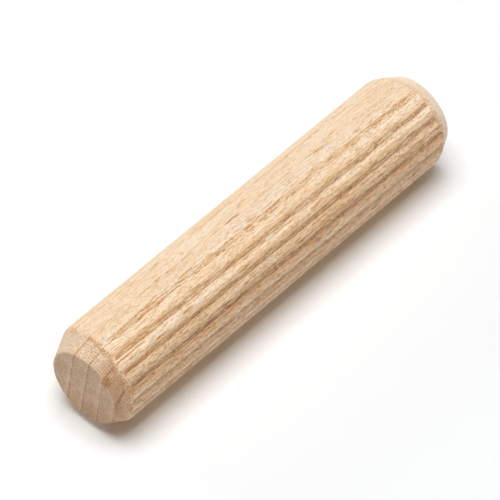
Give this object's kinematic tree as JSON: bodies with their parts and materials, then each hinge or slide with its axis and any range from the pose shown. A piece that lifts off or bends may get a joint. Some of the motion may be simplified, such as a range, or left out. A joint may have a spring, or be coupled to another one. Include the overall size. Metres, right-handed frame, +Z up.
{
  "type": "fluted dowel pin",
  "caption": "Wooden dowel pin with shallow flutes round most of its shank, one smooth side and pointed ends with flat faces, for gluing two boards together.",
  "frame": {"origin": "middle of the pin's outline, on the flat foot that it stands on", "axes": "+Z up along the pin, with the grain and the flutes; +X is across the pin, and the middle of the smooth side points 51 degrees from it towards -Y"},
  "size_m": [0.008, 0.008, 0.0365],
  "materials": {
    "beech": "bare planed and pressed beech, not sealed"
  },
  "bodies": {
    "root": {"dowel_pin": "beech"}
  },
  "joints": []
}
